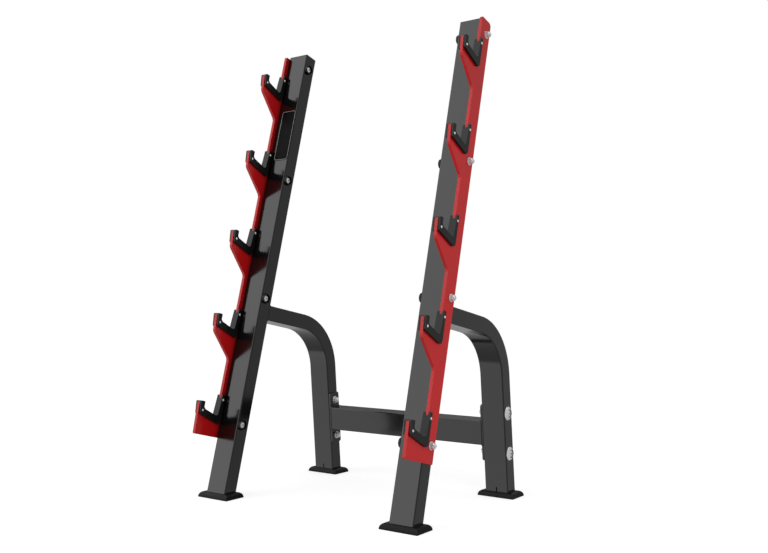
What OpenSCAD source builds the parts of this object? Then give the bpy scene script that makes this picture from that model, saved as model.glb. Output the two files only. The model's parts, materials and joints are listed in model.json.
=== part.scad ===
// Barbell storage rack: two leaning posts with red hook plates, two bent
// rear legs, a bolted crossbeam and four rubber feet. Millimetres.
// X runs along the stored bars, Y to the back, Z up. The origin lies on the
// floor in the middle of the rack.

/* [Frame] */
// Distance between the centre lines of the two posts
post_spacing = 704; // [560:2:900]
// Height of the top front edge of the posts above the floor
rack_height = 1483; // [1483:1:1560]
// Lean of the posts to the back, in degrees
lean = 14.7; // [14.3:0.1:15]
// Wide side of every frame tube
tube_w = 80; // [70:1:90]
// Narrow side of every frame tube
tube_d = 50; // [48:1:54]
// Wall of every frame tube
tube_wall = 3; // [2:0.5:4]
// Outer corner radius of every frame tube
tube_r = 4; // [3:0.5:5]

/* [Rear legs] */
// Distance of the leg centre line at the floor behind the post front line
leg_foot_y = 563; // [540:1:640]
// Splay of the legs to the back, in degrees
leg_splay = 5; // [3:0.5:7]
// Height at which the arm leaves the post
arm_z = 576.6; // [560:1:620]
// Fall of the arm below level, in degrees
arm_fall = 10; // [8:0.5:12]
// Radius of the bend, measured to the tube centre line
bend_r = 180; // [140:5:190]

/* [Crossbeam] */
// Height of the beam and flange centre above the floor
beam_z = 200; // [180:1:230]
// Thickness of the end flanges
flange_t = 6; // [5:0.5:8]
// Height of the end flanges
flange_h = 179; // [175:1:190]
// Distance between the two bolts of one flange
flange_bolt_gap = 127; // [122:1:132]

/* [Hook plates] */
// Number of hooks on each post
hook_count = 5; // [5]
// Distance from one hook to the next, along the post
hook_pitch = 283; // [270:1:284]
// Distance from the post top down to the tip of the first hook
hook_first = 112.5; // [105:0.5:116]
// Thickness of the hook plates
plate_t = 10; // [8:0.5:12]
// Reach of the hook tips in front of the post
hook_reach = 98; // [94:1:102]
// How far the hook tips lean ahead of the lower front edge
tip_lean = 5; // [3:0.5:7]
// Edge of the plate in front of the post, between the hooks
plate_lead = 15; // [13:0.5:17]
// Part of the plate that lies on the side of the post
plate_lap = 38; // [34:1:42]
// Distance from the post top down to the top of the plates
plate_drop = 5; // [2:1:10]
// Plate edge below the last hook, measured from its tip
plate_tail = 103.5; // [98:0.5:108]

/* [Hook liners] */
// Width of the plastic liners along the bar
liner_w = 24; // [20:0.5:28]
// Opening of the hook between the tip and the back rest
mouth = 63; // [60:1:66]
// Height of the back rest above the tip
rest_rise = 33; // [28:1:36]
// Slope of the hook floor, in degrees
floor_slope = 14; // [12:0.1:18]
// Thickness of the liner under the bar
liner_web = 5; // [4:0.5:6]

/* [Fasteners] */
// Shank diameter of the frame bolts
bolt_d = 10; // [8:1:10]
// Distance from the post top down to the first plate bolt
bolt_first = 52; // [46:1:58]
// Distance between plate bolts, along the post
bolt_pitch = 415.5; // [405:0.5:417]
// Distance of the plate bolts behind the post front
bolt_back = 18; // [16:1:20]
// Shank diameter of the liner screws
screw_d = 4; // [3:0.5:5]

/* [Feet] */
// Length of a foot along the bars
foot_w = 125; // [112:1:140]
// Depth of a foot
foot_d = 75; // [72:1:84]
// Height of a foot
foot_h = 17; // [15:1:20]

/* [Show] */
// One sub-part by name, or all

/* [Hidden] */
$fn = 64;
post_grey = [0.30, 0.30, 0.31];
plate_red = [0.72, 0.10, 0.11];
liner_black = [0.10, 0.11, 0.11];
rubber_black = [0.07, 0.07, 0.07];
silver = [0.78, 0.78, 0.79];

half_w = tube_w / 2;
half_d = tube_d / 2;
post_x = post_spacing / 2;
post_length = rack_height / cos(lean);
cap_t = 3;
plug_depth = 25;
foot_floor = 6;
foot_radius = 15;
foot_seat_y = foot_floor * tan(lean);

// Hooks, measured in the plate plane: ahead of the post front and up from
// the hook tip.
tip_front = hook_reach + tip_lean;
tip_back = tip_front - 18;
rest_front = tip_back - mouth;
rest_draft = 6;
rest_back = 5.5;
tip_height = 17.5;
tip_chamfer = 6;
floor_rise = tan(floor_slope);
floor_start = tip_back - tip_chamfer;
floor_top = -tip_height - tip_chamfer;
cheek_depth = 22;
rest_slot = 10;
liner_front_gap = 0.5;
web_drop = liner_web / cos(floor_slope);
plate_tip_t = 5.5;
plate_tip_drop = 4;
under_start = 59.4;
under_end = 131.5;
plate_bottom = hook_first + (hook_count - 1) * hook_pitch + plate_tail;
tip_screw_w = hook_reach - 9;
tip_screw_drop = 28.5;
rest_screw_w = 10;
rest_screw_drop = -16;

// Fasteners
hole_play = 1;
cup_d = 35;
cup_t = 9;
cup_well_d = 27;
cup_floor = 2;
head_d = 24;
head_t = 5;
socket_af = 6;
socket_deep = 3;
washer_d = 24;
washer_t = 2.5;
nut_af = 17;
nut_t = 10;
thread_out = 3;
dome_d = 43;
dome_t = 10;
screw_head_d = 8;
screw_head_t = 2.2;

// Rear leg path in the side plane
arm_start_y = arm_z * tan(lean) + tube_d / cos(lean);
elbow_z = (arm_z - tan(arm_fall) * (leg_foot_y - arm_start_y)) / (1 - tan(arm_fall) * tan(leg_splay));
elbow_y = leg_foot_y - elbow_z * tan(leg_splay);
bend_angle = 90 - arm_fall - leg_splay;
bend_cut = bend_r * tan(bend_angle / 2);
leg_length = elbow_z / cos(leg_splay) - bend_cut;
arm_length = norm([elbow_y - arm_start_y, arm_z - elbow_z]) - bend_cut;
arm_extra = 60;
arm_ease = 0.02;
arm_overlap = 1;

// Crossbeam
beam_y = leg_foot_y - beam_z * tan(leg_splay);
flange_w = tube_d - 2;
flange_r = 8;
beam_length = post_spacing - tube_w - 2 * flange_t;

// Blank label plate
label_w = 62;
label_h = 184;
label_t = 1.2;
label_r = 10;
label_top = 213;

// The middle of the rack from front to back
front_y = (post_length - plate_bottom) * sin(lean) - hook_reach * cos(lean);
back_y = leg_foot_y + foot_d / 2;
mid_y = (front_y + back_y) / 2;

// A sheet outline with round corners: points listed counter-clockwise, each
// with the radius of its corner.
function unit(v) = v / norm(v);
function turn(a, b) = a[0] * b[1] - a[1] * b[0];
function cut_of(p, a, b, r) = r / tan(acos(min(1, max(-1, unit(a - p) * unit(b - p)))) / 2);
function arc_centre(p, a, b, r) =
    p + unit(unit(a - p) + unit(b - p)) * norm([r, cut_of(p, a, b, r)]);

module round_outline(points, radii) {
    n = len(points);
    trimmed = [
        for (i = [0 : n - 1])
            let (
                p = points[i],
                a = points[(i + n - 1) % n],
                b = points[(i + 1) % n],
                c = radii[i] > 0 ? cut_of(p, a, b, radii[i]) : 0
            )
            for (q = radii[i] > 0 ? [p + unit(a - p) * c, p + unit(b - p) * c] : [p]) q
    ];
    difference() {
        union() {
            polygon(trimmed);
            for (i = [0 : n - 1])
                if (radii[i] > 0 && bends_out(points, i))
                    translate(arc_centre(points[i], points[(i + n - 1) % n], points[(i + 1) % n], radii[i]))
                        circle(r = radii[i]);
        }
        for (i = [0 : n - 1])
            if (radii[i] > 0 && !bends_out(points, i))
                translate(arc_centre(points[i], points[(i + n - 1) % n], points[(i + 1) % n], radii[i]))
                    circle(r = radii[i]);
    }
}

function bends_out(points, i) =
    let (n = len(points), p = points[i])
    turn(p - points[(i + n - 1) % n], points[(i + 1) % n] - p) > 0;

module round_box_outline(w, d, r) {
    round_outline(
        [[-w / 2, -d / 2], [w / 2, -d / 2], [w / 2, d / 2], [-w / 2, d / 2]],
        [r, r, r, r]
    );
}

module tube_outline() {
    difference() {
        round_box_outline(tube_w, tube_d, tube_r);
        tube_bore_outline(0);
    }
}

// The bore of a tube, made smaller all round by the given play
module tube_bore_outline(play) {
    round_box_outline(
        tube_w - 2 * (tube_wall + play),
        tube_d - 2 * (tube_wall + play),
        max(0.5, tube_r - tube_wall)
    );
}

// Places
module centred() {
    translate([0, -mid_y, 0]) children();
}

// Inside this frame Z runs up the post, Y from its front face to the back.
module on_post(side) {
    centred() translate([side * post_x, 0, 0]) rotate([-lean, 0, 0]) children();
}

// Inside this frame Z runs up the leg and Y = 0 is its centre line.
module on_leg(side) {
    centred() translate([side * post_x, leg_foot_y, 0]) rotate([leg_splay, 0, 0]) children();
}

module floor_cut() {
    translate([-post_spacing, -leg_foot_y, foot_floor - 200])
        cube([2 * post_spacing, 3 * leg_foot_y, 200]);
}

// Lays a sheet drawn as [ahead of the post, up the post] against the outer
// side of a post and gives it a thickness.
module side_sheet(side, x_from, thick) {
    translate([side * x_from, 0, post_length])
        mirror([side < 0 ? 1 : 0, 0, 0])
            rotate([90, 0, 90])
                mirror([1, 0, 0])
                    linear_extrude(thick) children();
}

// Holes and fasteners across the post, with their axis along X.
module across(x_from, length, d) {
    translate([x_from, 0, 0]) rotate([0, 90, 0]) cylinder(h = length, d = d);
}

module at_plate_bolts() {
    for (i = [0 : 3])
        translate([0, bolt_back, post_length - bolt_first - i * bolt_pitch]) children();
}

module at_flange_bolts(side) {
    on_leg(side)
        for (s = [-1, 1])
            translate([0, 0, beam_z / cos(leg_splay) + s * flange_bolt_gap / 2]) children();
}

module hex_prism(af, h) {
    cylinder(h = h, d = af / cos(30), $fn = 6);
}

// Posts
module post(side) {
    color(post_grey) difference() {
        on_post(side) difference() {
            translate([0, half_d, -20])
                linear_extrude(post_length + 20 - cap_t) tube_outline();
            at_plate_bolts() across(-tube_w, 2 * tube_w, bolt_d + hole_play);
        }
        centred() floor_cut();
    }
}

module post_cap(side) {
    color(rubber_black) on_post(side) {
        translate([0, half_d, post_length - cap_t])
            linear_extrude(cap_t) round_box_outline(tube_w, tube_d, tube_r);
        translate([0, half_d, post_length - plug_depth])
            linear_extrude(plug_depth - cap_t + 0.5) tube_bore_outline(0);
    }
}

// Hook plates
function hook_outline(last) = concat(
    last
        ? [[0, -plate_tail], [hook_reach, -plate_tail]]
        : [[0, -under_end - 20], [plate_lead, -under_end - 20], [plate_lead, -under_end], [hook_reach, -under_start]],
    [
        [tip_front, -plate_tip_drop],
        [tip_front - plate_tip_t, -plate_tip_drop],
        [hook_reach - plate_tip_t, seat_up(hook_reach - plate_tip_t)],
        [plate_lead, seat_up(plate_lead)],
        [plate_lead, rest_rise],
        [0, rest_rise]
    ]
);
function hook_radii(last) = concat(last ? [0, 5] : [0, 0, 20, 18], [2, 2, 3, 8, 0, 0]);

// Height of the plate edge under the liner floor, up from the hook tip
function seat_up(w) = liner_up(w) - web_drop;
function liner_up(w) = floor_top - (floor_start - w) * floor_rise;

module hooks_outline() {
    for (i = [0 : hook_count - 1])
        translate([0, -hook_first - i * hook_pitch])
            round_outline(hook_outline(i == hook_count - 1), hook_radii(i == hook_count - 1));
    round_outline(
        [[-plate_lap, -plate_bottom], [plate_lead, -plate_bottom], [plate_lead, -plate_drop], [-plate_lap, -plate_drop]],
        [2, 0, 3, 12]
    );
}

module hook_plate(side) {
    color(plate_red) on_post(side) difference() {
        side_sheet(side, half_w, plate_t) hooks_outline();
        at_plate_bolts() across(-2 * tube_w, 4 * tube_w, bolt_d + hole_play);
        for (i = [0 : hook_count - 1])
            at_liner_screws(i) across(-2 * tube_w, 4 * tube_w, screw_d);
    }
}

// Hook liners
module liner_outline() {
    cheek_line = liner_up(floor_start) - cheek_depth;
    front = hook_reach - 1;
    round_outline(
        [
            [rest_back, cheek_line - (floor_start - rest_back) * floor_rise],
            [front, cheek_line + (front - floor_start) * floor_rise],
            [tip_front - liner_front_gap, 0],
            [tip_back, 0],
            [tip_back, -tip_height],
            [floor_start, floor_top],
            [rest_front, liner_up(rest_front)],
            [rest_front - rest_draft, rest_rise],
            [rest_back, rest_rise]
        ],
        [10, 5, 4, 3, 3, 3, 8, 3, 2]
    );
}

module liner(side, i) {
    overhang = (liner_w - plate_t) / 2;
    color(liner_black) on_post(side) difference() {
        translate([0, 0, -hook_first - i * hook_pitch])
            side_sheet(side, half_w - overhang, liner_w) liner_outline();
        side_sheet(side, half_w, plate_t) hooks_outline();
        translate([0, 0, -hook_first - i * hook_pitch])
            side_sheet(side, half_w, plate_t) rest_slot_outline();
        at_liner_screws(i) across(-2 * tube_w, 4 * tube_w, screw_d);
    }
}

// Open top between the two cheeks of the back rest
module rest_slot_outline() {
    translate([0, rest_rise - rest_slot]) square([rest_front, 2 * rest_slot]);
}

// The two screws of one liner: through the tip and through the back rest.
module at_liner_screws(i) {
    for (s = [[tip_screw_w, tip_screw_drop], [rest_screw_w, rest_screw_drop]])
        translate([0, -s[0], post_length - hook_first - i * hook_pitch - s[1]]) children();
}

// A low dome on a flat base, standing along +Z.
module low_dome(d, h) {
    ball_r = (d * d / 4 + h * h) / (2 * h);
    intersection() {
        translate([0, 0, h - ball_r]) sphere(r = ball_r);
        cylinder(h = h, d = d);
    }
}

module liner_screws(side) {
    inner = half_w - (liner_w - plate_t) / 2;
    color(silver) on_post(side) for (i = [0 : hook_count - 1]) at_liner_screws(i)
        mirror([side < 0 ? 1 : 0, 0, 0]) {
            translate([inner, 0, 0]) rotate([0, -90, 0]) low_dome(screw_head_d, screw_head_t);
            across(inner - 0.5, liner_w + 0.5, screw_d);
        }
}

module liner_nuts(side) {
    outer = half_w - (liner_w - plate_t) / 2 + liner_w;
    color(silver) on_post(side) for (i = [0 : hook_count - 1]) at_liner_screws(i)
        mirror([side < 0 ? 1 : 0, 0, 0])
            translate([outer, 0, 0]) rotate([0, 90, 0]) low_dome(screw_head_d, screw_head_t);
}

// Plate fasteners. The bolt head sits in a cup on the inner side of the post,
// the washer and nut on the outer side of the plate.
module plate_side(side) {
    color(silver) on_post(side) at_plate_bolts()
        mirror([side < 0 ? 1 : 0, 0, 0]) children();
}

module plate_cups(side) {
    color(rubber_black) on_post(side) at_plate_bolts()
        mirror([side < 0 ? 1 : 0, 0, 0])
            translate([-half_w, 0, 0]) rotate([0, -90, 0]) difference() {
                cylinder(h = cup_t, d1 = cup_d, d2 = cup_d - 5);
                translate([0, 0, cup_floor]) cylinder(h = cup_t, d = cup_well_d);
                translate([0, 0, -1]) cylinder(h = cup_t, d = bolt_d + hole_play);
            }
}

module plate_bolts(side) {
    head_x = -half_w - cup_floor;
    plate_side(side) {
        translate([head_x, 0, 0]) rotate([0, -90, 0]) difference() {
            low_dome(head_d, head_t);
            translate([0, 0, head_t - socket_deep]) hex_prism(socket_af, socket_deep + 1);
        }
        across(head_x - 0.5, 0.5 + cup_floor + tube_w + plate_t + washer_t + nut_t + thread_out, bolt_d);
    }
}

module plate_washers(side) {
    plate_side(side) translate([half_w + plate_t, 0, 0]) rotate([0, 90, 0]) difference() {
        cylinder(h = washer_t, d = washer_d);
        translate([0, 0, -1]) cylinder(h = washer_t + 2, d = bolt_d + hole_play);
    }
}

module plate_nuts(side) {
    plate_side(side) translate([half_w + plate_t + washer_t, 0, 0]) rotate([0, 90, 0]) nut();
}

module nut() {
    difference() {
        intersection() {
            hex_prism(nut_af, nut_t);
            translate([0, 0, -2]) cylinder(h = nut_t + 2, d1 = nut_af + 12, d2 = nut_af);
        }
        translate([0, 0, -1]) cylinder(h = nut_t + 2, d = bolt_d);
    }
}

// Rear legs: a straight leg, one bend and the arm that meets the post. The
// arm is a hair slimmer and runs into the end of the bend.
module leg_tube() {
    translate([0, 0, -20]) linear_extrude(leg_length + 20) tube_outline();
    translate([0, -bend_r, leg_length]) {
        rotate([90, 0, 90])
            rotate_extrude(angle = bend_angle)
                translate([bend_r, 0]) rotate(90) tube_outline();
        rotate([bend_angle, 0, 0])
            translate([0, bend_r, -arm_overlap])
                linear_extrude(arm_length + arm_overlap + arm_extra) difference() {
                    round_box_outline(tube_w - 2 * arm_ease, tube_d - 2 * arm_ease, tube_r);
                    tube_bore_outline(-arm_ease);
                }
    }
}

module rear_leg(side) {
    slot_w = 4;
    slot_h = 16;
    color(post_grey) difference() {
        on_leg(side) {
            difference() {
                leg_tube();
                translate([-slot_w / 2, -tube_d, 0]) cube([slot_w, tube_d, foot_h + slot_h]);
            }
        }
        on_post(side) translate([-tube_w, tube_d - 300, 0]) cube([2 * tube_w, 300, post_length]);
        at_flange_bolts(side) across(-tube_w, 2 * tube_w, bolt_d + hole_play);
        centred() floor_cut();
    }
}

// Crossbeam with its welded end flanges
module crossbeam() {
    color(post_grey) centred() translate([-beam_length / 2, beam_y, beam_z])
        rotate([leg_splay, 0, 0]) rotate([90, 0, 90])
            linear_extrude(beam_length) rotate(90) tube_outline();
}

module flange(side) {
    color(post_grey) difference() {
        on_leg(side) translate([0, 0, beam_z / cos(leg_splay)])
            mirror([side < 0 ? 1 : 0, 0, 0])
                translate([-half_w - flange_t, 0, 0]) rotate([90, 0, 90])
                    linear_extrude(flange_t) round_box_outline(flange_w, flange_h, flange_r);
        at_flange_bolts(side) across(-tube_w, 2 * tube_w, bolt_d + hole_play);
    }
}

module flange_side(side) {
    color(silver) at_flange_bolts(side) mirror([side < 0 ? 1 : 0, 0, 0]) children();
}

module dome_washers(side) {
    flange_side(side) translate([half_w, 0, 0]) rotate([0, 90, 0]) difference() {
        low_dome(dome_d, dome_t);
        translate([0, 0, cup_floor]) cylinder(h = dome_t, d = cup_well_d);
        translate([0, 0, -1]) cylinder(h = dome_t, d = bolt_d + hole_play);
    }
}

module beam_bolts(side) {
    head_x = half_w + cup_floor;
    length = tube_w + flange_t + washer_t + nut_t + thread_out;
    flange_side(side) {
        translate([head_x, 0, 0]) rotate([0, 90, 0]) difference() {
            low_dome(head_d, head_t);
            translate([0, 0, head_t - socket_deep]) hex_prism(socket_af, socket_deep + 1);
        }
        across(half_w - length, length + cup_floor + 0.5, bolt_d);
    }
}

module flange_washers(side) {
    flange_side(side) translate([-half_w - flange_t, 0, 0]) rotate([0, -90, 0]) difference() {
        cylinder(h = washer_t, d = washer_d);
        translate([0, 0, -1]) cylinder(h = washer_t + 2, d = bolt_d + hole_play);
    }
}

module flange_nuts(side) {
    flange_side(side) translate([-half_w - flange_t - washer_t, 0, 0]) rotate([0, -90, 0]) nut();
}

// Feet: a low pad with quarter-round edges and a pocket for the tube end.
module foot_pad() {
    intersection() {
        rotate([90, 0, 0]) translate([0, 0, -foot_d / 2])
            linear_extrude(foot_d) foot_edge_outline(foot_w);
        rotate([90, 0, 90]) translate([0, 0, -foot_w / 2])
            linear_extrude(foot_w) foot_edge_outline(foot_d);
    }
}

module foot_edge_outline(w) {
    intersection() {
        round_outline(
            [[-w / 2, -foot_h], [w / 2, -foot_h], [w / 2, foot_h], [-w / 2, foot_h]],
            [0, 0, foot_radius, foot_radius]
        );
        translate([-w, 0]) square([2 * w, 2 * foot_h]);
    }
}

module front_foot(side) {
    color(rubber_black) difference() {
        centred() translate([side * post_x, foot_seat_y + half_d / cos(lean), 0]) foot_pad();
        difference() {
            on_post(side) translate([0, half_d, -20])
                linear_extrude(80) round_box_outline(tube_w, tube_d, tube_r);
            centred() floor_cut();
        }
    }
}

module rear_foot(side) {
    color(rubber_black) difference() {
        centred() translate([side * post_x, leg_foot_y, 0]) foot_pad();
        difference() {
            on_leg(side) translate([0, 0, -20])
                linear_extrude(80) round_box_outline(tube_w, tube_d, tube_r);
            centred() floor_cut();
        }
    }
}

// Blank label plate on the front of the left post
module label_plate() {
    color(rubber_black) on_post(-1)
        translate([8, 0, post_length - label_top - label_h / 2])
            rotate([90, 0, 0]) linear_extrude(label_t) round_box_outline(label_w, label_h, label_r);
}

post(-1);  // left_post
post(1);  // right_post
post_cap(-1);  // left_post_cap
post_cap(1);  // right_post_cap
hook_plate(-1);  // left_hook_plate
hook_plate(1);  // right_hook_plate
liner(-1, 0);  // left_liner_1
liner(-1, 1);  // left_liner_2
liner(-1, 2);  // left_liner_3
liner(-1, 3);  // left_liner_4
liner(-1, 4);  // left_liner_5
liner(1, 0);  // right_liner_1
liner(1, 1);  // right_liner_2
liner(1, 2);  // right_liner_3
liner(1, 3);  // right_liner_4
liner(1, 4);  // right_liner_5
liner_screws(-1);  // left_liner_screws
liner_screws(1);  // right_liner_screws
liner_nuts(-1);  // left_liner_nuts
liner_nuts(1);  // right_liner_nuts
plate_cups(-1);  // left_plate_cups
plate_cups(1);  // right_plate_cups
plate_bolts(-1);  // left_plate_bolts
plate_bolts(1);  // right_plate_bolts
plate_washers(-1);  // left_plate_washers
plate_washers(1);  // right_plate_washers
plate_nuts(-1);  // left_plate_nuts
plate_nuts(1);  // right_plate_nuts
rear_leg(-1);  // left_rear_leg
rear_leg(1);  // right_rear_leg
crossbeam();
flange(-1);  // left_flange
flange(1);  // right_flange
dome_washers(-1);  // left_dome_washers
dome_washers(1);  // right_dome_washers
beam_bolts(-1);  // left_beam_bolts
beam_bolts(1);  // right_beam_bolts
flange_washers(-1);  // left_flange_washers
flange_washers(1);  // right_flange_washers
flange_nuts(-1);  // left_flange_nuts
flange_nuts(1);  // right_flange_nuts
front_foot(-1);  // left_front_foot
front_foot(1);  // right_front_foot
rear_foot(-1);  // left_rear_foot
rear_foot(1);  // right_rear_foot
label_plate();
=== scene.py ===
"""Looks of the barbell storage rack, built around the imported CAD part.

Pieces of detail are laid out in the CAD source's millimetres and degrees and
placed in the frame's metres. Lengths inside materials are in metres too.
"""

import json
import math

import bmesh
import bpy
from mathutils import Matrix, Vector

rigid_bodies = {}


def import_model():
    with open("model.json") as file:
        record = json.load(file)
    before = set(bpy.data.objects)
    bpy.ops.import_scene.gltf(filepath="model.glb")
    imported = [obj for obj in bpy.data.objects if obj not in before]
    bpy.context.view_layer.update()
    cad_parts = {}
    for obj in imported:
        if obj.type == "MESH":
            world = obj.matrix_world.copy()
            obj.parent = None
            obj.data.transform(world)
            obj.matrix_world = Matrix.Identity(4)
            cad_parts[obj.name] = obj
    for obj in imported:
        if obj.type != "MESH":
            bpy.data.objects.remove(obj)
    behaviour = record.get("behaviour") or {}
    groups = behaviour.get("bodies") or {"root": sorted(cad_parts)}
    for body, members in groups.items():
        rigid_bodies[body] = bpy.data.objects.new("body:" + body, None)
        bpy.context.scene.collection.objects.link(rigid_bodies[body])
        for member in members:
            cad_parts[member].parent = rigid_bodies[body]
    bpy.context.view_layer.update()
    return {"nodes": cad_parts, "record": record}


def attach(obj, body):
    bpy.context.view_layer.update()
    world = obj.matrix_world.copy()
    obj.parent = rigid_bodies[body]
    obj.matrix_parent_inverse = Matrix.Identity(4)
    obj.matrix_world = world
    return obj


for thing in list(bpy.data.objects):
    bpy.data.objects.remove(thing)

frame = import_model()
NODES = frame["nodes"]
SIDES = (("left", -1), ("right", 1))
MM = 0.001
QUARTER = math.radians(90)

# Sizes of the CAD source, in millimetres and degrees
POST_X = 352.0
LEAN = math.radians(14.7)
SPLAY = math.radians(5.0)
TUBE_W, TUBE_D, TUBE_R = 80.0, 50.0, 4.0
POST_LENGTH = 1483.0 / math.cos(LEAN)
LEG_FOOT_Y, BEAM_Z = 563.0, 200.0
FLANGE_T, FLANGE_GAP = 6.0, 127.0
ARM_Z = 576.6
HOOKS, HOOK_PITCH, HOOK_FIRST, PLATE_TAIL, HOOK_REACH = 5, 283.0, 112.5, 103.5, 98.0
PLATE_T, WASHER_T, NUT_T, THREAD_OUT, BOLT_R = 10.0, 2.5, 10.0, 3.0, 5.0
PLATE_BOLTS, BOLT_FIRST, BOLT_PITCH, BOLT_BACK = 4, 52.0, 415.5, 18.0
LABEL_W, LABEL_H, LABEL_T, LABEL_R, LABEL_TOP, LABEL_X = 62.0, 184.0, 1.2, 10.0, 213.0, 8.0
FOOT_D = 75.0

plate_bottom = HOOK_FIRST + (HOOKS - 1) * HOOK_PITCH + PLATE_TAIL
front_y = (POST_LENGTH - plate_bottom) * math.sin(LEAN) - HOOK_REACH * math.cos(LEAN)
MID_Y = (front_y + LEG_FOOT_Y + FOOT_D / 2) / 2


def in_mm(matrix):
    """A place given in millimetres, as a matrix in metres for points in millimetres."""
    return Matrix.Scale(MM, 4) @ matrix


def post_place(side):
    """Z runs up the post and Y from its front face to the back, as in the CAD source."""
    foot = Matrix.Translation((side * POST_X, -MID_Y, 0))
    return in_mm(foot @ Matrix.Rotation(-LEAN, 4, "X"))


def leg_place(side):
    """Z runs up the rear leg and Y to its back, from the middle of its foot."""
    foot = Matrix.Translation((side * POST_X, LEG_FOOT_Y - MID_Y, 0))
    return in_mm(foot @ Matrix.Rotation(SPLAY, 4, "X"))


# Materials
HOLLOW_SAMPLES, BEVEL_SAMPLES = 8, 4
# Cosine between the rounded and the true normal where an edge starts, and where it is full
EDGE_START, EDGE_FULL = 0.998, 0.90


class Graph:
    """A material's node tree, with short ways to add and join nodes."""

    def __init__(self, name):
        self.material = bpy.data.materials.new(name)
        self.material.use_nodes = True
        self.tree = self.material.node_tree
        self.tree.nodes.clear()
        self.shader = self.add("ShaderNodeBsdfPrincipled")
        output = self.add("ShaderNodeOutputMaterial")
        self.join(self.shader.outputs["BSDF"], output.inputs["Surface"])
        self.place = self.add("ShaderNodeTexCoord").outputs["Object"]

    def add(self, kind, **settings):
        node = self.tree.nodes.new(kind)
        for key, value in settings.items():
            setattr(node, key, value)
        return node

    def join(self, a, b):
        self.tree.links.new(a, b)

    def noise(self, scale, detail=2.0, rough=0.5, stretch=None):
        """Cloudy noise from 0 to 1, with a scale in cells per metre."""
        node = self.add("ShaderNodeTexNoise")
        node.inputs["Scale"].default_value = scale
        node.inputs["Detail"].default_value = detail
        node.inputs["Roughness"].default_value = rough
        place = self.place
        if stretch:
            mapping = self.add("ShaderNodeMapping")
            mapping.inputs["Scale"].default_value = stretch
            self.join(place, mapping.inputs["Vector"])
            place = mapping.outputs["Vector"]
        self.join(place, node.inputs["Vector"])
        return node.outputs["Fac"]

    def spread(self, value, low, high, out_low=0.0, out_high=1.0):
        """Maps a value between two limits onto two others."""
        node = self.add("ShaderNodeMapRange")
        self.join(value, node.inputs["Value"])
        limits = {"From Min": low, "From Max": high, "To Min": out_low, "To Max": out_high}
        for name, number in limits.items():
            node.inputs[name].default_value = number
        return node.outputs["Result"]

    def math(self, operation, a, b):
        node = self.add("ShaderNodeMath", operation=operation)
        for socket, value in zip(node.inputs, (a, b)):
            if isinstance(value, (int, float)):
                socket.default_value = value
            else:
                self.join(value, socket)
        return node.outputs["Value"]

    def mix(self, share, a, b):
        """Goes from colour a to colour b as the share goes from 0 to 1."""
        node = self.add("ShaderNodeMix", data_type="RGBA")
        self.join(share, node.inputs["Factor"])
        for socket, value in zip((node.inputs[6], node.inputs[7]), (a, b)):
            if isinstance(value, tuple):
                socket.default_value = (*value, 1.0)
            else:
                self.join(value, socket)
        return node.outputs[2]

    def edges(self, radius):
        """1 along convex and hollow edges, 0 on open faces."""
        bevel = self.add("ShaderNodeBevel", samples=BEVEL_SAMPLES)
        bevel.inputs["Radius"].default_value = radius
        flat = self.add("ShaderNodeNewGeometry").outputs["Normal"]
        dot = self.add("ShaderNodeVectorMath", operation="DOT_PRODUCT")
        self.join(bevel.outputs["Normal"], dot.inputs[0])
        self.join(flat, dot.inputs[1])
        return self.spread(dot.outputs["Value"], EDGE_START, EDGE_FULL)

    def rubbed(self, radius, patches):
        """Edges that are worn in patches."""
        return self.math("MULTIPLY", self.edges(radius), patches)

    def sheltered(self, colour, shade, distance, low, high):
        """Paints shade: turns a colour to a darker shade, by ambient occlusion, where other
        surfaces stand within a distance.
        """
        hollow = self.add("ShaderNodeAmbientOcclusion", samples=HOLLOW_SAMPLES)
        hollow.inputs["Distance"].default_value = distance
        return self.mix(self.spread(hollow.outputs["AO"], low, high), shade, colour)

    def bump(self, height, distance, strength, below=None):
        node = self.add("ShaderNodeBump")
        node.inputs["Distance"].default_value = distance
        node.inputs["Strength"].default_value = strength
        self.join(height, node.inputs["Height"])
        if below is not None:
            self.join(below, node.inputs["Normal"])
        return node.outputs["Normal"]

    def finish(self, colour, roughness, normal, **fixed):
        self.join(colour, self.shader.inputs["Base Color"])
        self.join(roughness, self.shader.inputs["Roughness"])
        self.join(normal, self.shader.inputs["Normal"])
        for name, value in fixed.items():
            self.shader.inputs[name.replace("_", " ")].default_value = value
        return self.material


def powder_coat(name, dark, light, worn, rough, specular, shade=None):
    """Baked powder paint: a fine orange-peel skin, a little worn along the edges.

    A shade, if given, is painted shade that darkens the coat where pieces stand close together.
    """
    g = Graph(name)
    clouds = g.noise(scale=2.4, detail=5.0, rough=0.55)
    speckle = g.noise(scale=1100.0, rough=0.6)
    patches = g.noise(scale=55.0, detail=4.0, rough=0.7)
    smudge = g.noise(scale=9.0, detail=4.0, rough=0.6)
    peel = g.noise(scale=300.0, rough=0.45)
    colour = g.mix(g.spread(clouds, 0.32, 0.68), dark, light)
    colour = g.mix(g.rubbed(0.0022, g.spread(patches, 0.46, 0.74)), colour, worn)
    # painted shade: the coat turns darker in crevices and next to other pieces, by ambient
    # occlusion
    if shade:
        colour = g.sheltered(colour, shade, distance=0.022, low=0.30, high=0.85)
    roughness = g.math("ADD", g.spread(smudge, 0.3, 0.7, rough - 0.03, rough + 0.03),
                       g.spread(speckle, 0.3, 0.7, -0.015, 0.015))
    skin = g.bump(peel, distance=0.0003, strength=0.05)
    normal = g.bump(speckle, distance=0.0001, strength=0.06, below=skin)
    return g.finish(colour, roughness, normal, Specular_IOR_Level=specular)


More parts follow.
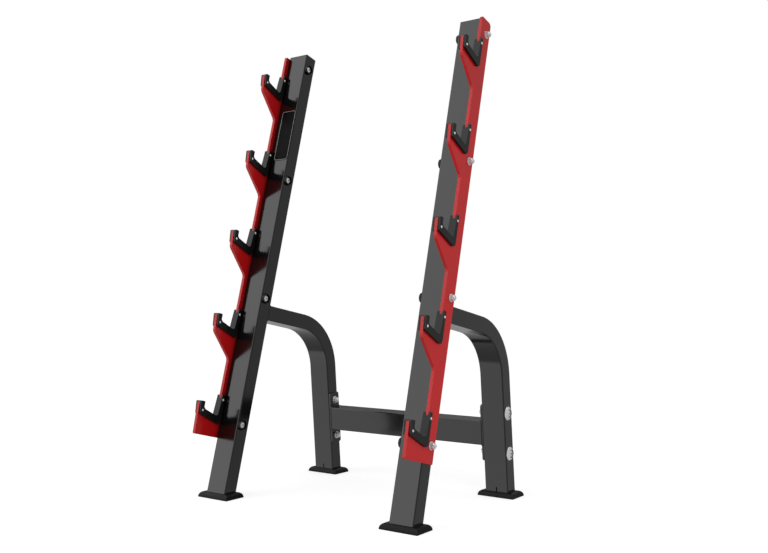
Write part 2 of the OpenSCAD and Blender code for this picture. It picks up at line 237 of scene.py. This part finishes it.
def moulded_plastic(name, dark, light, rough, specular, grain, depth, shade=None):
    """Injection-moulded plastic with a spark-eroded grain and lighter rubbed edges.

    The grain is in cells per metre. A shade, if given, is painted shade on what stands close
    to other surfaces, so a cup is painted black on its walls and inside, paler on its rim.
    """
    g = Graph(name)
    clouds = g.noise(scale=14.0, detail=4.0, rough=0.6)
    patches = g.noise(scale=160.0, detail=3.0, rough=0.7)
    handling = g.noise(scale=38.0, detail=4.0, rough=0.65)
    sparks = g.noise(grain, rough=0.55)
    waves = g.noise(grain * 0.22)
    colour = g.mix(g.spread(clouds, 0.3, 0.7), dark, light)
    lighter = tuple(1.3 * c + 0.013 for c in light)
    colour = g.mix(g.rubbed(0.0012, g.spread(patches, 0.42, 0.7, 0.0, 0.8)), colour, lighter)
    # painted shade: black on walls and in recesses close to other surfaces, by ambient occlusion
    if shade:
        colour = g.sheltered(colour, shade, distance=0.060, low=0.87, high=0.99)
    roughness = g.spread(handling, 0.3, 0.7, rough - 0.06, rough + 0.06)
    fine = g.bump(sparks, distance=depth, strength=0.35)
    normal = g.bump(waves, distance=depth * 2, strength=0.12, below=fine)
    return g.finish(colour, roughness, normal, Specular_IOR_Level=specular)


def rubber(name):
    """Black rubber with a dusty bloom in patches and a fine pitted skin."""
    g = Graph(name)
    dust = g.noise(scale=21.0, detail=5.0, rough=0.7)
    patches = g.noise(scale=90.0, detail=3.0, rough=0.6)
    handling = g.noise(scale=48.0, detail=3.0, rough=0.6)
    pores = g.noise(scale=1300.0, rough=0.6)
    waves = g.noise(scale=130.0, detail=3.0)
    colour = g.mix(g.spread(dust, 0.42, 0.75), (0.0028, 0.0028, 0.0030), (0.0060, 0.0060, 0.0063))
    worn = (0.030, 0.030, 0.031)
    colour = g.mix(g.rubbed(0.0025, g.spread(patches, 0.4, 0.7, 0.2, 0.9)), colour, worn)
    roughness = g.spread(handling, 0.3, 0.7, 0.28, 0.42)
    pits = g.bump(pores, distance=0.0002, strength=0.4)
    normal = g.bump(waves, distance=0.0004, strength=0.15, below=pits)
    return g.finish(colour, roughness, normal, Specular_IOR_Level=0.13)


def zinc(name, tone, rough):
    """Zinc plate: turned streaks, duller handling marks and painted shade in the hollows."""
    g = Graph(name)
    streaks = g.noise(scale=900.0, detail=3.0, rough=0.6, stretch=(3.0, 0.35, 0.35))
    tarnish = g.noise(scale=70.0, detail=4.0, rough=0.65)
    handling = g.noise(scale=240.0, detail=4.0, rough=0.6)
    bright = (tone, tone, tone * 1.01)
    dull = (tone * 0.78, tone * 0.78, tone * 0.80)
    edge, shade = (0.82, 0.82, 0.83), (0.03, 0.03, 0.032)
    colour = g.mix(g.spread(tarnish, 0.35, 0.7), bright, dull)
    colour = g.mix(g.rubbed(0.0006, 0.5), colour, edge)
    # painted shade: sockets, recesses and the rings where nuts and washers meet turn dark, by
    # ambient occlusion
    colour = g.sheltered(colour, shade, distance=0.008, low=0.32, high=0.72)
    roughness = g.spread(handling, 0.3, 0.7, rough - 0.07, rough + 0.08)
    normal = g.bump(streaks, distance=0.00006, strength=0.4)
    return g.finish(colour, roughness, normal, Metallic=0.55)


def gloss_sheet(name):
    """The bare label: a smooth black sheet with faint wipe marks."""
    g = Graph(name)
    wipe = g.noise(scale=60.0, detail=4.0, rough=0.6, stretch=(0.3, 1.0, 2.4))
    clouds = g.noise(scale=18.0, detail=3.0)
    waves = g.noise(scale=300.0)
    colour = g.mix(g.spread(clouds, 0.3, 0.7), (0.0035, 0.0035, 0.0038), (0.006, 0.006, 0.0065))
    colour = g.mix(g.rubbed(0.0008, 0.6), colour, (0.05, 0.05, 0.052))
    roughness = g.spread(wipe, 0.3, 0.7, 0.36, 0.50)
    normal = g.bump(waves, distance=0.00008, strength=0.15)
    return g.finish(colour, roughness, normal, Specular_IOR_Level=0.03)


def printed_line(name):
    """The light rim of the label, slightly scuffed."""
    g = Graph(name)
    scuffs = g.noise(scale=240.0, detail=3.0, rough=0.6)
    handling = g.noise(scale=120.0)
    grain = g.noise(scale=800.0, detail=1.0)
    colour = g.mix(g.spread(scuffs, 0.4, 0.7), (0.40, 0.40, 0.41), (0.24, 0.24, 0.25))
    roughness = g.spread(handling, 0.3, 0.7, 0.35, 0.5)
    normal = g.bump(grain, distance=0.00005, strength=0.3)
    return g.finish(colour, roughness, normal, Specular_IOR_Level=0.4)


GREY = powder_coat("grey_powder_coat", dark=(0.0028, 0.0029, 0.0030),
                   light=(0.0045, 0.0046, 0.0048), worn=(0.030, 0.031, 0.032),
                   rough=0.14, specular=0.60)
# The red coat's shade is painted shade, dark red, where the plates stand close to the posts and
# liners.
RED = powder_coat("red_powder_coat", dark=(0.52, 0.0045, 0.0055), light=(0.58, 0.0060, 0.0080),
                  worn=(0.62, 0.030, 0.030), rough=0.20, specular=0.38,
                  shade=(0.10, 0.0015, 0.0020))
LINER = moulded_plastic("liner_black_plastic", dark=(0.0040, 0.0044, 0.0044),
                        light=(0.0075, 0.0080, 0.0080), rough=0.34, specular=0.27,
                        grain=1500.0, depth=0.00018)
CAP = moulded_plastic("cap_grey_plastic", dark=(0.030, 0.030, 0.031),
                      light=(0.042, 0.042, 0.043), rough=0.50, specular=0.40,
                      grain=1200.0, depth=0.0002)
# The cup's shade is painted shade, near black, on its walls and inside next to the post.
CUP = moulded_plastic("cup_black_plastic", dark=(0.030, 0.030, 0.031),
                      light=(0.040, 0.040, 0.041), rough=0.40, specular=0.08,
                      grain=900.0, depth=0.00008, shade=(0.0025, 0.0025, 0.0028))
RUBBER = rubber("foot_black_rubber")
ZINC = zinc("zinc_plated_steel", tone=0.98, rough=0.18)
SHEET = gloss_sheet("label_black_sheet")
RIM = printed_line("label_light_rim")

SLOT_MATERIAL = {
    "powder_coat_grey": GREY, "powder_coat_red": RED, "liner_plastic": LINER,
    "cap_plastic": CAP, "foot_rubber": RUBBER, "cup_plastic": CUP, "zinc_steel": ZINC,
    "label_black": SHEET,
}


# Carried CAD nodes
def smooth_group():
    """A modifier that shades every face smooth, for the weighted normals after it."""
    group = bpy.data.node_groups.new("shade_all_smooth", "GeometryNodeTree")
    for way in ("INPUT", "OUTPUT"):
        group.interface.new_socket("Geometry", in_out=way, socket_type="NodeSocketGeometry")
    start = group.nodes.new("NodeGroupInput")
    end = group.nodes.new("NodeGroupOutput")
    smooth = group.nodes.new("GeometryNodeSetShadeSmooth")
    smooth.inputs["Shade Smooth"].default_value = True
    group.links.new(start.outputs[0], smooth.inputs[0])
    group.links.new(smooth.outputs[0], end.inputs[0])
    return group


SMOOTH = smooth_group()
WELD_DISTANCE = 0.000004
FLAT_ANGLE, SHARP_ANGLE = math.radians(0.2), math.radians(28.0)
ROUND_SEGMENTS, FACE_WEIGHT = 3, 90


def soften(piece, width):
    """Rounds the sharp edges of a piece by the given width in millimetres."""
    weld = piece.modifiers.new("weld", "WELD")
    weld.merge_threshold = WELD_DISTANCE
    plain = piece.modifiers.new("plain_faces", "DECIMATE")
    plain.decimate_type = "DISSOLVE"
    plain.angle_limit = FLAT_ANGLE
    bevel = piece.modifiers.new("round_edges", "BEVEL")
    bevel.width = width * MM
    bevel.segments = ROUND_SEGMENTS
    bevel.limit_method = "ANGLE"
    bevel.angle_limit = SHARP_ANGLE
    bevel.miter_outer = "MITER_ARC"
    shade = piece.modifiers.new("shade", "NODES")
    shade.node_group = SMOOTH
    even = piece.modifiers.new("even_normals", "WEIGHTED_NORMAL")
    even.weight = FACE_WEIGHT
    even.keep_sharp = False


# Rounding in millimetres, by a node's name without its side and number
EDGE_WIDTH = {
    "hook_plate": 1.7, "liner": 1.3, "flange": 1.2, "post_cap": 1.0, "plate_cups": 0.8,
    "plate_bolts": 0.5, "beam_bolts": 0.5, "plate_washers": 0.4, "flange_washers": 0.4,
    "dome_washers": 0.6, "liner_screws": 0.35, "liner_nuts": 0.35, "front_foot": 1.2,
    "rear_foot": 1.2, "label_plate": 0.4,
}
slots = {part["node"]: part["material_slot"] for part in frame["record"]["subparts"]}
for name, piece in NODES.items():
    piece.data.materials.clear()
    piece.data.materials.append(SLOT_MATERIAL[slots[name]])
    kind = name.replace("left_", "").replace("right_", "").rstrip("_12345")
    if kind in EDGE_WIDTH:
        soften(piece, EDGE_WIDTH[kind])


# Pieces of detail
def new_piece(name, bm, material):
    """Turns a bmesh into a smooth piece on the root body."""
    mesh = bpy.data.meshes.new(name)
    bm.normal_update()
    bm.to_mesh(mesh)
    bm.free()
    mesh.materials.append(material)
    mesh.polygons.foreach_set("use_smooth", [True] * len(mesh.polygons))
    piece = bpy.data.objects.new(name, mesh)
    bpy.context.scene.collection.objects.link(piece)
    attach(piece, "root")


def between_rings(rings):
    """Corners of the faces between rings of vertices, where the last ring meets the first."""
    for a, b in zip(rings, rings[1:] + rings[:1]):
        for k in range(len(a)):
            j = (k + 1) % len(a)
            yield a[k], a[j], b[j], b[k]


CORNER_STEPS = 24


def rounded_loop(width, height, radius, step):
    """Points of a rounded rectangle, evenly spaced, with the outward direction at each."""
    corners = [(1, 1, 0), (-1, 1, 90), (-1, -1, 180), (1, -1, 270)]
    dense = []
    for sx, sy, start in corners:
        cx, cy = sx * (width / 2 - radius), sy * (height / 2 - radius)
        for k in range(CORNER_STEPS + 1):
            a = math.radians(start + 90 * k / CORNER_STEPS)
            nx, ny = math.cos(a), math.sin(a)
            dense.append((cx + radius * nx, cy + radius * ny, nx, ny))
    dense.append(dense[0])
    lengths = [0.0]
    for p, q in zip(dense, dense[1:]):
        lengths.append(lengths[-1] + math.hypot(q[0] - p[0], q[1] - p[1]))
    count = int(lengths[-1] / step)
    found, k = [], 0
    for i in range(count):
        at = lengths[-1] * i / count
        while lengths[k + 1] <= at:
            k += 1
        t = (at - lengths[k]) / (lengths[k + 1] - lengths[k])
        p = [a + (b - a) * t for a, b in zip(dense[k], dense[k + 1])]
        n = math.hypot(p[2], p[3])
        found.append((p[0], p[1], p[2] / n, p[3] / n))
    return found


# Weld beads: width and depth of the loop they follow, their radius, and their ripples
BEAD_CORNER = TUBE_R + 1.0
BEAM_BEAD = (TUBE_W + 2.4, TUBE_D - 2.0)
ARM_BEAD = (TUBE_W - 3.0, TUBE_D + 2.6)
BEAM_BEAD_R, ARM_BEAD_R = 2.5, 2.6
BEAD_STEP, BEAD_SIDES, BEAD_FLATNESS = 0.55, 10, 0.8
RIPPLE_STEPS, RIPPLE = 5, 0.10


def weld_bead(place, size, radius):
    """A rippled bead laid round a rounded rectangle in the XY plane of a place."""
    bm = bmesh.new()
    rings = []
    for i, (x, y, nx, ny) in enumerate(rounded_loop(*size, BEAD_CORNER, BEAD_STEP)):
        phase = (i % RIPPLE_STEPS) / RIPPLE_STEPS
        drift = 0.05 * math.sin(i * 0.19) + 0.03 * math.sin(i * 0.071 + 1.0)
        r = radius * (1.0 + RIPPLE * (1.0 - phase) + drift)
        ring = []
        for k in range(BEAD_SIDES):
            a = 2 * math.pi * k / BEAD_SIDES
            out, up = r * math.cos(a), r * BEAD_FLATNESS * math.sin(a)
            ring.append(bm.verts.new(place @ Vector((x + nx * out, y + ny * out, up))))
        rings.append(ring)
    for a, next_a, next_b, b in between_rings(rings):
        bm.faces.new((a, b, next_b, next_a))
    return bm


beam_y = LEG_FOOT_Y - BEAM_Z * math.tan(SPLAY)
beam_half = POST_X - TUBE_W / 2 - FLANGE_T
arm_y = ARM_Z * math.tan(LEAN) + TUBE_D / math.cos(LEAN)
for word, side in SIDES:
    at = Matrix.Translation((side * beam_half, beam_y - MID_Y, BEAM_Z))
    place = in_mm(at @ Matrix.Rotation(SPLAY, 4, "X") @ Matrix.Rotation(QUARTER, 4, "Y"))
    bead = weld_bead(place, BEAM_BEAD, BEAM_BEAD_R)
    new_piece(f"{word}_beam_weld", bead, GREY)

    at = Matrix.Translation((side * POST_X, arm_y - MID_Y, ARM_Z))
    place = in_mm(at @ Matrix.Rotation(-LEAN, 4, "X") @ Matrix.Rotation(QUARTER, 4, "X"))
    bead = weld_bead(place, ARM_BEAD, ARM_BEAD_R)
    new_piece(f"{word}_arm_weld", bead, GREY)

# Bolt threads: the sleeve's clearance round the plain end, and the ridges' height
THREAD_PITCH, THREAD_AROUND, THREAD_ROWS = 1.25, 40, 30
THREAD_CLEAR, THREAD_HEIGHT = 0.04, 0.34
TIP_SLOPE, TIP_RISE = 0.6, 0.05


def threaded_end(bm, place):
    """The last turns of a bolt's thread, as a sleeve round its plain end, with a chamfered tip."""
    core = BOLT_R + THREAD_CLEAR
    grid = []
    for j in range(THREAD_ROWS + 1):
        z = THREAD_OUT * j / THREAD_ROWS
        chamfer = core + max(0.0, THREAD_OUT - z) * TIP_SLOPE
        row = []
        for k in range(THREAD_AROUND):
            turn = (z / THREAD_PITCH - k / THREAD_AROUND) % 1.0
            ridge = 1.0 - abs(2.0 * turn - 1.0)
            r = min(core + THREAD_HEIGHT * ridge, chamfer)
            a = 2 * math.pi * k / THREAD_AROUND
            row.append(bm.verts.new(place @ Vector((r * math.cos(a), r * math.sin(a), z))))
        grid.append(row)
    tip = bm.verts.new(place @ Vector((0, 0, THREAD_OUT + TIP_RISE)))
    root = bm.verts.new(place @ Vector((0, 0, 0)))
    steps = [(k, (k + 1) % THREAD_AROUND) for k in range(THREAD_AROUND)]
    for low, high in zip(grid, grid[1:]):
        for k, j in steps:
            bm.faces.new((low[k], low[j], high[j], high[k]))
    for k, j in steps:
        bm.faces.new((grid[-1][k], grid[-1][j], tip))
        bm.faces.new((grid[0][j], grid[0][k], root))


nut_stack = WASHER_T + NUT_T
for word, side in SIDES:
    bm = bmesh.new()
    out = side * (TUBE_W / 2 + PLATE_T + nut_stack)
    turn = Matrix.Rotation(side * QUARTER, 4, "Y")
    for i in range(PLATE_BOLTS):
        up = POST_LENGTH - BOLT_FIRST - i * BOLT_PITCH
        threaded_end(bm, post_place(side) @ Matrix.Translation((out, BOLT_BACK, up)) @ turn)
    new_piece(f"{word}_plate_threads", bm, ZINC)

    bm = bmesh.new()
    out = -side * (TUBE_W / 2 + FLANGE_T + nut_stack)
    turn = Matrix.Rotation(-side * QUARTER, 4, "Y")
    for end in (-1, 1):
        up = BEAM_Z / math.cos(SPLAY) + end * FLANGE_GAP / 2
        threaded_end(bm, leg_place(side) @ Matrix.Translation((out, 0, up)) @ turn)
    new_piece(f"{word}_flange_threads", bm, ZINC)

RIM_INSET, RIM_STEP = 1.6, 1.0
# The rim line's section: distance inward from its outer edge, and height over the label
RIM_SECTION = ((0.0, -0.1), (0.0, 0.15), (0.2, 0.25), (1.3, 0.25), (1.5, 0.15), (1.5, -0.1))


def label_rim():
    """A thin raised line just inside the edge of the bare label."""
    bm = bmesh.new()
    middle = Matrix.Translation((LABEL_X, -LABEL_T, POST_LENGTH - LABEL_TOP - LABEL_H / 2))
    place = post_place(-1) @ middle @ Matrix.Rotation(QUARTER, 4, "X")
    outer = rounded_loop(LABEL_W - 2 * RIM_INSET, LABEL_H - 2 * RIM_INSET, LABEL_R - RIM_INSET,
                         RIM_STEP)
    rings = [[bm.verts.new(place @ Vector((x - nx * inward, y - ny * inward, height)))
              for x, y, nx, ny in outer] for inward, height in RIM_SECTION]
    for corners in between_rings(rings):
        bm.faces.new(corners)
    new_piece("label_rim", bm, RIM)


label_rim()

# Studio
WHITE = (1.0, 1.0, 1.0, 1.0)
FLOOR_GREY = (0.6, 0.6, 0.6, 1.0)
FLOOR_GLOW, FLOOR_REACH, FLOOR_DROP = 0.66, 60.0, -0.0004
AMBIENT = 0.58
# What glossy surfaces mirror: a bright left front over a darker ground, a dim right side and back
UPPER_WHITE, LOWER_WHITE, GROUND_GREY = 1.85, 1.17, 0.45
RIGHT_GREY, BACK_LOW, BACK_DARK, BACK_HIGH = 0.43, 0.48, 0.08, 0.60
# Where the levels meet, as limits of the direction's X, Y or Z
GROUND_EDGE, HORIZON = (-0.66, -0.62), (-0.05, 0.18)
BACK_HORIZON, BACK_RISE = (-0.06, 0.04), (0.20, 0.40)
BACK_TURN, RIGHT_TURN, RIGHT_TOP = (-0.05, 0.25), (-0.05, 0.25), (0.72, 0.85)


def seen_directly(tree):
    """1 for camera, glossy and transmission rays, 0 for the rest."""
    path = tree.nodes.new("ShaderNodeLightPath")
    seen = path.outputs["Is Camera Ray"]
    for ray in ("Is Glossy Ray", "Is Transmission Ray"):
        either = tree.nodes.new("ShaderNodeMath")
        either.operation = "MAXIMUM"
        tree.links.new(seen, either.inputs[0])
        tree.links.new(path.outputs[ray], either.inputs[1])
        seen = either.outputs[0]
    return seen


def banded(tree, value, limits, low, high):
    """Two levels, numbers or sockets, with a soft step between the limits."""
    node = tree.nodes.new("ShaderNodeMapRange")
    node.interpolation_type = "SMOOTHSTEP"
    tree.links.new(value, node.inputs["Value"])
    node.inputs["From Min"].default_value, node.inputs["From Max"].default_value = limits
    for socket, level in (("To Min", low), ("To Max", high)):
        if isinstance(level, float):
            node.inputs[socket].default_value = level
        else:
            tree.links.new(level, node.inputs[socket])
    return node.outputs["Result"]


def build_world():
    """White behind the part, an even light on matt surfaces, and levels for glossy ones."""
    world = bpy.data.worlds.new("studio")
    bpy.context.scene.world = world
    world.use_nodes = True
    tree = world.node_tree
    tree.nodes.clear()
    way = tree.nodes.new("ShaderNodeSeparateXYZ")
    tree.links.new(tree.nodes.new("ShaderNodeTexCoord").outputs["Generated"], way.inputs[0])
    x, y, z = way.outputs["X"], way.outputs["Y"], way.outputs["Z"]
    lower = banded(tree, z, GROUND_EDGE, GROUND_GREY, LOWER_WHITE)
    front = banded(tree, z, HORIZON, lower, UPPER_WHITE)
    back = banded(tree, z, BACK_HORIZON, BACK_LOW, BACK_DARK)
    back = banded(tree, z, BACK_RISE, back, BACK_HIGH)
    left = banded(tree, y, BACK_TURN, front, back)
    right = banded(tree, z, RIGHT_TOP, RIGHT_GREY, UPPER_WHITE)
    mirrored = banded(tree, x, RIGHT_TURN, left, right)
    glossy = tree.nodes.new("ShaderNodeLightPath").outputs["Is Glossy Ray"]
    level = banded(tree, glossy, (0.0, 1.0), 1.0, mirrored)
    dim = tree.nodes.new("ShaderNodeBackground")
    dim.inputs["Color"].default_value = WHITE
    dim.inputs["Strength"].default_value = AMBIENT
    white = tree.nodes.new("ShaderNodeBackground")
    white.inputs["Color"].default_value = WHITE
    tree.links.new(level, white.inputs["Strength"])
    blend = tree.nodes.new("ShaderNodeMixShader")
    tree.links.new(seen_directly(tree), blend.inputs["Fac"])
    tree.links.new(dim.outputs[0], blend.inputs[1])
    tree.links.new(white.outputs[0], blend.inputs[2])
    output = tree.nodes.new("ShaderNodeOutputWorld")
    tree.links.new(blend.outputs[0], output.inputs["Surface"])


def build_floor():
    """A plain white floor just under the feet, which keeps the part's shadow."""
    bm = bmesh.new()
    corners = ((-1, -1), (1, -1), (1, 1), (-1, 1))
    bm.faces.new([bm.verts.new((x * FLOOR_REACH, y * FLOOR_REACH, FLOOR_DROP))
                  for x, y in corners])
    mesh = bpy.data.meshes.new("studio_floor")
    bm.to_mesh(mesh)
    bm.free()
    paint = bpy.data.materials.new("white_floor")
    paint.use_nodes = True
    tree = paint.node_tree
    tree.nodes.clear()
    matt = tree.nodes.new("ShaderNodeBsdfDiffuse")
    matt.inputs["Color"].default_value = FLOOR_GREY
    strength = tree.nodes.new("ShaderNodeMath")
    strength.operation = "MULTIPLY"
    tree.links.new(seen_directly(tree), strength.inputs[0])
    strength.inputs[1].default_value = FLOOR_GLOW
    glow = tree.nodes.new("ShaderNodeEmission")
    tree.links.new(strength.outputs[0], glow.inputs["Strength"])
    total = tree.nodes.new("ShaderNodeAddShader")
    tree.links.new(matt.outputs[0], total.inputs[0])
    tree.links.new(glow.outputs[0], total.inputs[1])
    output = tree.nodes.new("ShaderNodeOutputMaterial")
    tree.links.new(total.outputs[0], output.inputs["Surface"])
    mesh.materials.append(paint)
    floor = bpy.data.objects.new("studio_floor", mesh)
    floor.visible_glossy = False
    bpy.context.scene.collection.objects.link(floor)


def lamp(name, place, target, width, height, watts):
    """A rectangular lamp that lights matt surfaces and isn't seen or mirrored."""
    data = bpy.data.lights.new(name, "AREA")
    data.shape = "RECTANGLE"
    data.size = width
    data.size_y = height
    data.energy = watts
    light = bpy.data.objects.new(name, data)
    light.location = place
    toward = Vector(target) - Vector(place)
    light.rotation_euler = toward.to_track_quat("-Z", "Y").to_euler()
    light.visible_camera = False
    light.visible_glossy = False
    bpy.context.scene.collection.objects.link(light)


build_world()
build_floor()

KEY_AIM, KEY_FAR, KEY_WATTS = Vector((0.0, 0.0, 0.75)), 3.6, 29.0
KEY_AZIMUTH, KEY_HEIGHT = math.radians(40), math.radians(26)
key_way = Vector((-math.sin(KEY_AZIMUTH) * math.cos(KEY_HEIGHT),
                  -math.cos(KEY_AZIMUTH) * math.cos(KEY_HEIGHT), math.sin(KEY_HEIGHT)))
lamp("key_softbox", KEY_AIM + KEY_FAR * key_way, KEY_AIM, width=2.6, height=3.0,
     watts=KEY_WATTS)
lamp("right_fill", (1.05, -0.45, 0.8), (0.4, -0.05, 0.8), width=0.3, height=1.9, watts=3.2)

# The camera that was fitted to the photo
camera_data = bpy.data.cameras.new("camera")
camera_data.sensor_width = 36.0
camera_data.lens = 42.28
camera_data.shift_y = -0.01478
camera_data.clip_end = 200.0
camera = bpy.data.objects.new("camera", camera_data)
camera.location = (1.7381, -2.27875, 0.6111)
camera.rotation_euler = (math.radians(92.38), 0.0, math.radians(35.68))
bpy.context.scene.collection.objects.link(camera)
bpy.context.scene.camera = camera
bpy.context.scene.view_settings.view_transform = "Standard"
